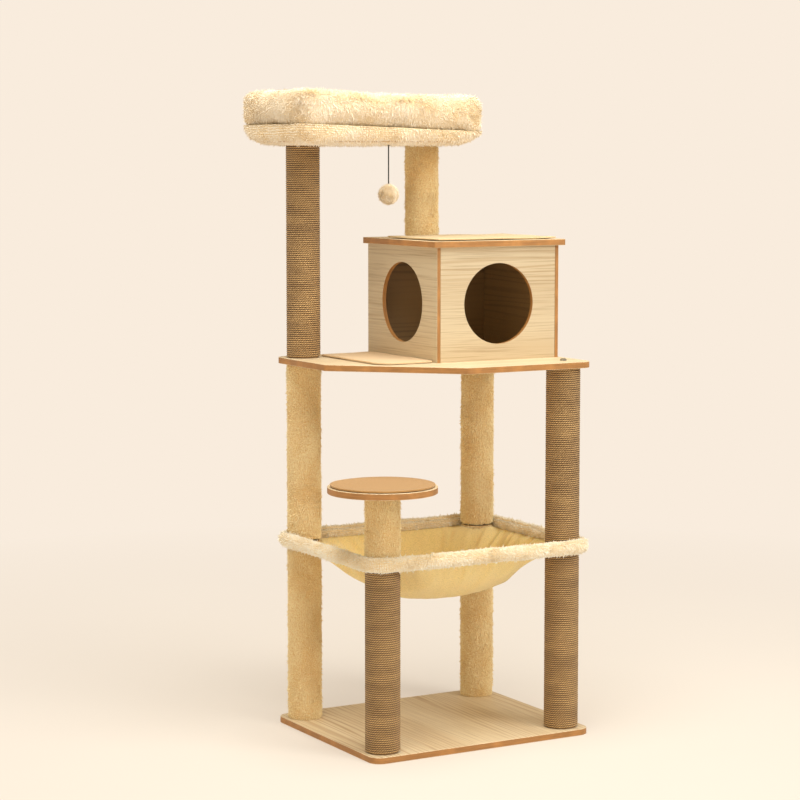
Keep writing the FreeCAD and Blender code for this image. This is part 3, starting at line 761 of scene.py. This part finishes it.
class TREE_OT_fleece_posts(bpy.types.Operator):
    """Covers the other posts with fleece"""
    bl_idname = "tree.fleece_posts"
    bl_label = "Fleece posts"

    def execute(self, context):
        size = context.scene.tree_sizes
        for number, post in enumerate(FLEECE_POSTS):
            node = post + "_plush"
            low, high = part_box(node)
            centre = centre_of(node)
            outer = (high.x - low.x) / 2 - 2.4 * MM
            tall = high.z - low.z
            bm = bmesh.new()
            segments = round(2 * math.pi * outer / size.tuft_width)
            bmesh.ops.create_cone(bm, cap_ends=True, segments=segments, radius1=outer,
                                  radius2=outer, depth=tall - 1 * MM)
            upright = [edge for edge in bm.edges
                       if abs(edge.verts[0].co.z - edge.verts[1].co.z) > tall / 2]
            bmesh.ops.subdivide_edges(bm, edges=upright, cuts=round(tall / size.tuft_width) - 1,
                                      use_grid_fill=False)
            for vert in bm.verts:
                end = tall / 2 - abs(vert.co.z)
                pull = 2.2 * MM * math.exp(-end / (2.5 * MM))
                wave = 0.9 * MM * wobble(vert.co, 16, number) + 0.5 * MM * wobble(
                    vert.co, 45, number)
                flat = Vector((vert.co.x, vert.co.y, 0))
                vert.co += flat.normalized() * (wave - pull)
            bmesh.ops.translate(bm, verts=bm.verts, vec=centre)
            raise_pile(bm, size.pile, 20 + number, (0, 0, -0.9), lambda bm: [
                face for face in bm.faces if abs(face.normal.z) < 0.9])
            new_piece("fleece_" + post, bm, "tree", fleece(), [node], False)
        return {"FINISHED"}


# Hammock

class TREE_OT_hammock(bpy.types.Operator):
    """Makes the hammock's fleece rim and its hanging cloth"""
    bl_idname = "tree.hammock"
    bl_label = "Hammock"

    def execute(self, context):
        size, look = context.scene.tree_sizes, context.scene.tree_colours
        posts = [centre_of(name + "_plugs") for name in (
            "front_left_lower", "front_right_lower", "back_left_lower", "back_right_lower")]
        low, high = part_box("hammock_rim")
        level = (low.z + high.z) / 2
        tube = (high.z - low.z) / 2
        post_x = max(post.x for post in posts)
        post_y = max(post.y for post in posts)
        half_x, half_y = high.x - tube, high.y - tube
        corner = half_x - post_x
        clear = (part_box("back_left_lower_plush")[1].x + post_x) + 0.6 * MM
        self.rim(size, look, posts, level, tube, half_x, half_y, corner, clear)
        self.sling(size, look, posts, half_x, half_y, clear)
        return {"FINISHED"}

    def rim(self, size, look, posts, level, tube, half_x, half_y, corner, clear):
        bm = bmesh.new()
        inner = tube - 2 * MM
        groove_at, groove_wide = 0.78, 0.26
        sides = round(2 * math.pi * inner / size.tuft_width)
        loop = profile(bm, Vector((0, -half_y, level)), 2 * inner, 2 * inner, sides)
        carry_round(bm, loop, Vector((0, 0, level)), half_x, half_y, corner, size.tuft_width)
        for vert in bm.verts:
            core = self.on_rod(vert.co, half_x, half_y, corner, level)
            arm = vert.co - core
            past_x, past_y = abs(core.x) > half_x - corner, abs(core.y) > half_y - corner
            if past_x and past_y:
                outwards = Vector((core.x / half_x ** 2, core.y / half_y ** 2, 0)).normalized()
            elif past_x:
                outwards = Vector((math.copysign(1, core.x), 0, 0))
            else:
                outwards = Vector((0, math.copysign(1, core.y), 0))
            turn = math.atan2(arm.z, -arm.dot(outwards))
            groove = 4.2 * MM * math.exp(-((turn - groove_at) / groove_wide) ** 2)
            swell = 1.5 * MM * wobble(core, 22, 5) + 1.0 * MM * wobble(vert.co, 55, 2)
            vert.co += arm.normalized() * (swell - groove)
            vert.co.z -= 1.2 * MM * wobble(core, 9, 8)
        raise_pile(bm, size.rim_pile, 41, (0, 0, -0.35), swirl=22)
        keep_off(bm, posts, clear, clear)
        cream = made("rim_fleece", fleece_finish, "rim_fleece", look.rim, look.pale_root_shade)
        new_piece("hammock_rim_fleece", bm, "tree", cream, ["hammock_rim"], False)

    def on_rod(self, place, half_x, half_y, corner, level):
        """The nearest point of the bent rod's middle line."""
        inner = Vector((max(-half_x + corner, min(half_x - corner, place.x)),
                        max(-half_y + corner, min(half_y - corner, place.y)), 0))
        away = Vector((place.x - inner.x, place.y - inner.y, 0))
        if away.length < 1e-6:
            away = Vector((place.x, 0, 0))
        core = inner + away.normalized() * corner
        core.z = level
        return core

    def sling(self, size, look, posts, half_x, half_y, clear):
        low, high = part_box("hammock_sling")
        top, sag = high.z - 1 * MM, high.z - low.z - 1 * MM - size.cloth_thick
        half_x, half_y = half_x - 12 * MM, half_y - 12 * MM
        bm = bmesh.new()
        bmesh.ops.create_grid(bm, x_segments=170, y_segments=144, size=1)
        for vert in bm.verts:
            u, v = vert.co.x, vert.co.y
            vert.co = self.hung(u, v, half_x, half_y, top, sag, size.pleat,
                                posts[3].x, posts[3].y, clear)
        hole = clear - 1.6 * MM
        gone = [vert for vert in bm.verts
                if any((vert.co.xy - post.xy).length < hole for post in posts)]
        bmesh.ops.delete(bm, geom=gone, context="VERTS")
        keep_off(bm, posts, clear + 1.2 * MM, clear + 0.4 * MM)
        soften(bm, 4, 0.4, edges_too=False)
        # The sling's darker second colour is painted shade in the strokes of its nap.
        cloth = made("sling_fleece", fleece_finish, "sling_fleece", look.sling,
                     scaled(look.sling, 0.82), False)
        glow = cloth.node_tree.nodes["Principled BSDF"].inputs
        glow["Subsurface Weight"].default_value = 0.5
        glow["Subsurface Radius"].default_value = (1, 0.75, 0.45)
        glow["Subsurface Scale"].default_value = 0.012
        sheet = new_piece("hammock_cloth", bm, "tree", cloth, ["hammock_sling"])
        thick = sheet.modifiers.new("two_layers", "SOLIDIFY")
        thick.thickness, thick.offset = size.cloth_thick, -1

    def hung(self, u, v, half_x, half_y, top, sag, pleat, post_x, post_y, clear):
        """Where a point of the flat cloth hangs; u and v run from -1 to 1."""
        out = max(abs(u), abs(v), 1e-6)
        depth = 1 - out ** 2.4
        corner = half_y * out * min(0.995, 0.3 + 0.95 * depth)
        x, y = half_x * u, half_y * v
        in_x, in_y = half_x * out - corner, half_y * out - corner
        if abs(x) > in_x and abs(y) > in_y:
            away = Vector((abs(x) - in_x, abs(y) - in_y)).normalized() * corner
            x = math.copysign(in_x + away.x, x)
            y = math.copysign(in_y + away.y, y)
        lifted = depth
        for across in (-1, 1):
            for along in (-1, 1):
                away = math.hypot(x - across * post_x, y - along * post_y) - clear
                lifted *= min(1, max(0, away / (95 * MM))) ** 0.75
        place = Vector((x, y, top - sag * lifted))
        at = math.atan2(v, u)
        end = abs(math.cos(at)) ** 4
        side = 4 * (x > 0)
        bold = 1 - 2.4 * abs(noise.noise(Vector((at * 4.6 + side, out * 0.8, 3))))
        fine = 1 - 2.4 * abs(noise.noise(Vector((at * 11 + 9, out * 1.1, 11))))
        tight = 1 - 2.4 * abs(noise.noise(Vector((at * 27, out * 1.4, 17))))
        fold = 1.3 * bold * out ** 1.4 + 0.9 * fine * out ** 3
        fold += 0.8 * tight * out ** 9 * (0.35 + end)
        slack = pleat * (0.45 + 0.75 * end) * (fold - 0.6 * out) * (1 - out ** 30)
        inwards = Vector((-x, -y, 0)).normalized() * out ** 2 * 0.8
        return place + (inwards + UP * (1 - 0.5 * out ** 3)) * slack


# Perch

class TREE_OT_perch(bpy.types.Operator):
    """Stuffs the perch's bolster and cushion, and covers its board"""
    bl_idname = "tree.perch"
    bl_label = "Perch"

    def execute(self, context):
        size = context.scene.tree_sizes
        self.bolster(size)
        self.cover(size)
        self.cushion(size)
        self.seam(size)
        return {"FINISHED"}

    def slope(self, place):
        """0 at the perch's left end, 1 at its right end."""
        return min(1, max(0, (place.x - perch_low.x) / (perch_high.x - perch_low.x)))

    def seam_level(self, place):
        size = bpy.context.scene.tree_sizes
        return size.seam_left + (size.seam_right - size.seam_left) * self.slope(place) ** 1.15

    def tilted(self, place, bottom, top):
        """Moves a point of the bolster so that its seam and its top slope to the right."""
        share = (place.z - bottom) / (top - bottom)
        crown = perch_crown - 10 * MM * self.slope(place) + 3 * MM * (1 - self.slope(place)) ** 3
        level = self.seam_level(place)
        return Vector((place.x, place.y, level + (crown - level) * share))

    def shrunk(self, node, amount):
        """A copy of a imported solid, a little smaller all round."""
        bm = bmesh.new()
        bm.from_mesh(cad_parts[node].data)
        bmesh.ops.remove_doubles(bm, verts=bm.verts, dist=0.02 * MM)
        bmesh.ops.recalc_face_normals(bm, faces=bm.faces)
        low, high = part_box(node)
        middle = (low + high) / 2
        for vert in bm.verts:
            for axis in range(3):
                share = 1 - 2 * amount / (high[axis] - low[axis])
                vert.co[axis] = middle[axis] + (vert.co[axis] - middle[axis]) * share
        return bm

    def bolster(self, size):
        bm = self.shrunk("perch_bolster", -1 * MM)
        piece = new_piece("perch_bolster_fleece", bm, "tree", pale_fleece(),
                          ["perch_bolster"])
        remesh(piece, 5.5 * MM)
        inflate(piece, 4, 9 * MM)
        remesh(piece, 3.4 * MM)
        bm = open_mesh(piece)
        soften(bm, 12)
        bm.normal_update()
        bottom = min(vert.co.z for vert in bm.verts)
        top = max(vert.co.z for vert in bm.verts)
        for vert in bm.verts:
            soft = 1.6 * MM * wobble(vert.co, 14, 3) + 0.8 * MM * wobble(vert.co, 38, 6)
            vert.co += vert.normal * soft
            vert.co = self.tilted(vert.co, bottom, top)
        raise_pile(bm, size.perch_pile, 61, (0, 0, -0.45), swirl=16)
        put_back(bm, piece, False)

    def cover(self, size):
        low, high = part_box("perch_cover")
        swell, corner, brim_turn, reach = 1 * MM, 34 * MM, 27 * MM, 95 * MM
        bm = bmesh.new()
        bmesh.ops.create_cube(bm, size=1)
        bmesh.ops.scale(bm, verts=bm.verts, vec=high - low + Vector((2 * swell, 2 * swell, 0)))
        bmesh.ops.translate(bm, verts=bm.verts, vec=(low + high) / 2)
        upright = [edge for edge in bm.edges if abs(edge.verts[0].co.z - edge.verts[1].co.z)
                   > 1 * MM]
        bmesh.ops.bevel(bm, geom=upright, offset=corner, segments=10, affect="EDGES",
                        profile=0.5, material=-1)
        brim = [edge for edge in bm.edges if abs(edge.verts[0].co.z - edge.verts[1].co.z)
                < 1 * MM and len(edge.link_faces) == 2
                and abs(edge.link_faces[0].normal.z - edge.link_faces[1].normal.z) > 0.9]
        under = [edge for edge in brim if edge.verts[0].co.z < (low.z + high.z) / 2]
        bmesh.ops.bevel(bm, geom=under, offset=brim_turn, segments=8, affect="EDGES", profile=0.5,
                        material=-1)
        piece = new_piece("perch_cover_fleece", bm, "tree", pale_fleece(), ["perch_cover"])
        remesh(piece, 4 * MM)
        bm = open_mesh(piece)
        bm.normal_update()
        middle = (low.z + high.z) / 2
        ends = [Vector((low.x, high.y)), Vector((high.x, low.y)), Vector((high.x, high.y))]
        for vert in bm.verts:
            near = min((vert.co.xy - end).length for end in ends)
            lift = max(0, 1 - near / reach) ** 1.8 * 0.85
            vert.co.z += lift * (high.z - vert.co.z)
            if vert.co.z > middle:
                lift = (vert.co.z - middle) / (high.z - middle)
                vert.co.z += lift * (self.seam_level(vert.co) + 3 * MM - high.z)
            vert.co += vert.normal * (1.2 * MM * wobble(vert.co, 18, 4))
        raise_pile(bm, size.perch_pile, 71, (0, 0, -0.4), lambda bm: [
            face for face in bm.faces if face.normal.z < 0.8], swirl=16)
        put_back(bm, piece, False)

    def cushion(self, size):
        low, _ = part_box("perch_pad")
        bm = self.shrunk("perch_pad", 5 * MM)
        piece = new_piece("perch_cushion", bm, "perch_pad", pale_fleece(), ["perch_pad"])
        remesh(piece, 6 * MM)
        inflate(piece, 3, 7 * MM)
        remesh(piece, 4.4 * MM)
        bm = open_mesh(piece)
        soften(bm, 2)
        floor = low.z + 1 * MM
        for vert in bm.verts:
            vert.co.z = max(vert.co.z + 1.5 * MM * wobble(vert.co, 20, 9), floor)
        raise_pile(bm, size.pile, 81, (0.2, 0, 0), lambda bm: [
            face for face in bm.faces if face.normal.z > -0.5])
        put_back(bm, piece, False)

    def seam(self, size):
        """The stitched line between the bolster and the cover, coloured dark brown as painted shade in the
        crease under the bolster.
        """
        low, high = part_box("perch_cover")
        inset = 0.4 * MM
        centre = (low + high) / 2
        half_x, half_y = (high.x - low.x) / 2 - inset, (high.y - low.y) / 2 - inset
        bm = bmesh.new()
        loop = profile(bm, centre + Vector((0, -half_y, 0)), 3 * MM, 2.4 * MM, 8)
        carry_round(bm, loop, centre, half_x, half_y, 31 * MM, 5 * MM)
        for vert in bm.verts:
            vert.co.z += self.seam_level(vert.co) - centre.z
        # Painted shade: the seam's dark brown stands for the shade in the crease under the bolster.
        crease_shade = plain_finish("seam_thread", shade(150, 104, 52), shade(96, 62, 30), 220,
                              (1, 1, 1), 0.9)
        new_piece("perch_seam", bm, "tree", crease_shade)


# Mats

class TREE_OT_mats(bpy.types.Operator):
    """Lays the felt mats on the roof, the platform and the step"""
    bl_idname = "tree.mats"
    bl_label = "Mats"

    def execute(self, context):
        size, look = context.scene.tree_sizes, context.scene.tree_colours
        felt = made("felt", felt_finish, "felt", look.felt)
        # Painted light: the roof's mat takes a lighter copy of the felt, for its sheen at a grazing view.
        pale = made("roof_felt", felt_finish, "roof_felt", look.roof_felt)
        self.mat(size, "roof_mat", "roof_felt_mat", pale, 4 * MM, "roof_board")
        self.mat(size, "platform_mat", "platform_felt_mat", felt, 12 * MM, "platform_board",
                 slant=24 * MM)
        # Painted shade: the step's mat takes a darker, more orange copy of the felt.
        tan = made("step_felt", felt_finish, "step_felt", look.step_felt)
        self.mat(size, "step_mat", "step_felt_mat", tan, None, "step_board")
        return {"FINISHED"}

    def mat(self, size, node, name, material, corner, board, slant=0.0):
        low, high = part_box(node)
        span, centre = high - low, (low + high) / 2
        bm = bmesh.new()
        if corner is None:
            bmesh.ops.create_circle(bm, cap_ends=True, segments=72, radius=span.x / 2)
        else:
            bmesh.ops.create_grid(bm, x_segments=1, y_segments=1, size=0.5)
            bmesh.ops.scale(bm, verts=bm.verts, vec=(span.x, span.y, 1))
            if slant:
                bmesh.ops.bisect_plane(
                    bm, geom=whole(bm), dist=1e-6,
                    plane_co=(-span.x / 2 + slant, -span.y / 2, 0), plane_no=(-1, -1, 0),
                    clear_outer=True)
            bmesh.ops.bevel(bm, geom=bm.verts, offset=corner, segments=5, affect="VERTICES",
                            profile=0.5, material=-1)
        for axis, reach in ((0, span.x), (1, span.y)):
            way = Vector((axis == 0, axis == 1, 0))
            lines = round(reach / (9 * MM))
            for number in range(1, lines):
                bmesh.ops.bisect_plane(
                    bm, geom=whole(bm), dist=1e-6,
                    plane_co=way * (number / lines - 0.5) * reach, plane_no=way)
        bmesh.ops.recalc_face_normals(bm, faces=bm.faces)
        if sum(face.normal.z for face in bm.faces) < 0:
            bmesh.ops.reverse_faces(bm, faces=bm.faces)
        bmesh.ops.translate(bm, verts=bm.verts, vec=Vector((centre.x, centre.y, low.z)))
        hem = [vert.co.copy() for vert in bm.verts if vert.is_boundary]
        for vert in bm.verts:
            edge = min((vert.co - other).length for other in hem)
            curl = 1.4 * MM * math.exp(-edge / (9 * MM)) * max(0, wobble(vert.co, 11, 2) + 0.35)
            vert.co.z += size.felt_wave * (0.5 + 0.5 * wobble(vert.co, 17, 4)) + curl
        sheet = new_piece(name, bm, node, material, [node])
        thick = sheet.modifiers.new("thickness", "SOLIDIFY")
        thick.thickness, thick.offset = size.felt_thick - 0.5 * MM, 1
        soft = sheet.modifiers.new("soft_edge", "BEVEL")
        soft.width, soft.segments, soft.limit_method = 1.1 * MM, 2, "ANGLE"
        soft.angle_limit = math.radians(50)


class TREE_PT_panel(bpy.types.Panel):
    """Lists the tree's sizes, colours and pieces"""
    bl_label = "Cat Tree"
    bl_idname = "TREE_PT_panel"
    bl_space_type = "VIEW_3D"
    bl_region_type = "UI"
    bl_category = "Cat Tree"

    def draw(self, context):
        for group in (context.scene.tree_sizes, context.scene.tree_colours):
            box = self.layout.box()
            for name in group.bl_rna.properties.keys():
                if name not in ("rna_type", "name"):
                    box.prop(group, name)
        for operator in OPERATORS:
            self.layout.operator(operator.bl_idname)


OPERATORS = (TREE_OT_stage, TREE_OT_toy, TREE_OT_boards, TREE_OT_rope_posts,
             TREE_OT_fleece_posts, TREE_OT_hammock, TREE_OT_perch, TREE_OT_mats)
CLASSES = (TreeSizes, TreeColours, *OPERATORS, TREE_PT_panel)


def register():
    for item in CLASSES:
        bpy.utils.register_class(item)
    bpy.types.Scene.tree_sizes = bpy.props.PointerProperty(type=TreeSizes)
    bpy.types.Scene.tree_colours = bpy.props.PointerProperty(type=TreeColours)


def unregister():
    del bpy.types.Scene.tree_colours
    del bpy.types.Scene.tree_sizes
    for item in reversed(CLASSES):
        bpy.utils.unregister_class(item)


def main():
    register()
    for operator in OPERATORS:
        group, name = operator.bl_idname.split(".")
        getattr(getattr(bpy.ops, group), name)()


if __name__ == "__main__":
    main()
